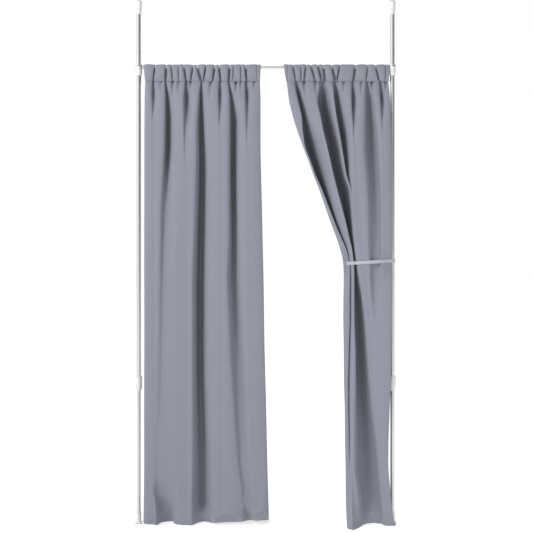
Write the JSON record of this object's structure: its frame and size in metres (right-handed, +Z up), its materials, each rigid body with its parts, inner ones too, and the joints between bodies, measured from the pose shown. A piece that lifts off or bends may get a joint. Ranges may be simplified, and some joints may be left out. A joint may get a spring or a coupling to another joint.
{
  "type": "curtain set on telescopic posts",
  "caption": "Gathered rod-pocket curtains on a telescopic rod between two posts braced between floor and ceiling; the right one is tied back to its post.",
  "frame": {"origin": "on the floor, midway between the two posts", "axes": "+X towards the right post, -Y towards the front of the curtains, +Z up"},
  "size_m": [1.402, 0.24, 2.8],
  "materials": {
    "satin_silver": "satin silver",
    "grey_plastic": "fine matt",
    "white_plastic": "semi-gloss",
    "grey_rubber": "matt",
    "blue_grey_cloth": "plain weave"
  },
  "bodies": {
    "left_post_base": {"left_floor_pad": "grey_rubber", "left_foot_cup": "grey_plastic", "left_lower_tube": "satin_silver", "left_guide_bush": "grey_plastic"},
    "left_upper_post": {"left_upper_tube": "satin_silver", "left_tube_insert": "grey_plastic", "left_lock_collet": "grey_plastic"},
    "left_collar": {"left_lock_collar": "grey_plastic"},
    "left_nut": {"left_tension_nut": "grey_plastic"},
    "left_jack": {"left_spindle": "satin_silver", "left_ceiling_cap": "grey_plastic", "left_ceiling_pad": "grey_rubber"},
    "rod_carrier": {"left_rod_clamp": "grey_plastic", "left_rod_end": "satin_silver", "rod_outer_tube": "satin_silver", "rod_mouth_bush": "grey_plastic", "left_curtain_heading": "blue_grey_cloth", "left_curtain_drop": "blue_grey_cloth"},
    "left_screw": {"left_clamp_screw": "white_plastic"},
    "left_leading": {"left_leading_end": "blue_grey_cloth"},
    "rod_inner": {"rod_inner_tube": "satin_silver", "right_rod_end": "satin_silver", "right_curtain_heading": "blue_grey_cloth", "right_curtain_drop": "blue_grey_cloth", "tieback_strap": "blue_grey_cloth", "tieback_snap": "white_plastic"},
    "right_leading": {"right_leading_end": "blue_grey_cloth"},
    "right_post_base": {"right_floor_pad": "grey_rubber", "right_foot_cup": "grey_plastic", "right_lower_tube": "satin_silver", "right_guide_bush": "grey_plastic"},
    "right_upper_post": {"right_upper_tube": "satin_silver", "right_tube_insert": "grey_plastic", "right_lock_collet": "grey_plastic"},
    "right_collar": {"right_lock_collar": "grey_plastic"},
    "right_nut": {"right_tension_nut": "grey_plastic"},
    "right_jack": {"right_spindle": "satin_silver", "right_ceiling_cap": "grey_plastic", "right_ceiling_pad": "grey_rubber"},
    "right_clamp": {"right_rod_clamp": "grey_plastic"},
    "right_screw": {"right_clamp_screw": "white_plastic"}
  },
  "joints": [
    {"name": "post_height", "type": "slide", "parent": "left_post_base", "child": "left_upper_post", "axis": [0, 0, 1], "range_m": [0, 0.25]},
    {"name": "right_post_height", "type": "slide", "parent": "right_post_base", "child": "right_upper_post", "axis": [0, 0, 1], "range_m": [0, 0.25]},
    {"name": "rod_height", "type": "slide", "parent": "left_upper_post", "child": "rod_carrier", "axis": [0, 0, 1], "range_m": [0, 0.22]},
    {"name": "right_rod_height", "type": "slide", "parent": "right_upper_post", "child": "right_clamp", "axis": [0, 0, 1], "range_m": [0, 0.22]},
    {"name": "rod_telescope", "type": "slide", "parent": "rod_carrier", "child": "rod_inner", "axis": [1, 0, 0], "range_m": [-0.04, 0.35]},
    {"name": "right_post_spread", "type": "slide", "parent": "left_post_base", "child": "right_post_base", "axis": [1, 0, 0], "range_m": [-0.04, 0.35]},
    {"name": "left_curtain_draw", "type": "slide", "parent": "rod_carrier", "child": "left_leading", "axis": [1, 0, 0], "range_m": [-0.4, 0], "deforming": ["left_curtain_heading", "left_curtain_drop"]},
    {"name": "right_curtain_draw", "type": "slide", "parent": "rod_inner", "child": "right_leading", "axis": [1, 0, 0], "range_m": [0, 0.25], "deforming": ["right_curtain_heading", "right_curtain_drop", "tieback_strap"]},
    {"name": "left_collar_twist", "type": "hinge", "parent": "left_upper_post", "child": "left_collar", "pos_m": [-0.68, 0, 0.7505], "axis": [0, 0, 1], "range_deg": [0, 90]},
    {"name": "left_nut_turn", "type": "hinge", "parent": "left_upper_post", "child": "left_nut", "pos_m": [-0.68, 0, 2.7413], "axis": [0, 0, 1], "range_deg": [0, 1441]},
    {"name": "left_jack_extend", "type": "slide", "parent": "left_upper_post", "child": "left_jack", "axis": [0, 0, 1], "range_m": [0, 0.024]},
    {"name": "left_screw_turn", "type": "hinge", "parent": "rod_carrier", "child": "left_screw", "pos_m": [-0.68, -0.02, 2.439], "axis": [0, -1, 0], "range_deg": [0, 720]},
    {"name": "right_collar_twist", "type": "hinge", "parent": "right_upper_post", "child": "right_collar", "pos_m": [0.68, 0, 0.7505], "axis": [0, 0, 1], "range_deg": [0, 90]},
    {"name": "right_nut_turn", "type": "hinge", "parent": "right_upper_post", "child": "right_nut", "pos_m": [0.68, 0, 2.7413], "axis": [0, 0, 1], "range_deg": [0, 1441]},
    {"name": "right_jack_extend", "type": "slide", "parent": "right_upper_post", "child": "right_jack", "axis": [0, 0, 1], "range_m": [0, 0.024]},
    {"name": "right_screw_turn", "type": "hinge", "parent": "right_clamp", "child": "right_screw", "pos_m": [0.68, -0.02, 2.439], "axis": [0, -1, 0], "range_deg": [0, 720]}
  ],
  "couplings": [
    {"joint": "right_post_height", "follows": "post_height", "ratio": 1},
    {"joint": "right_rod_height", "follows": "rod_height", "ratio": 1},
    {"joint": "right_post_spread", "follows": "rod_telescope", "ratio": 1},
    {"joint": "left_nut_turn", "follows": "left_jack_extend", "rad_per_m": 1047.2},
    {"joint": "right_nut_turn", "follows": "right_jack_extend", "rad_per_m": 1047.2}
  ]
}
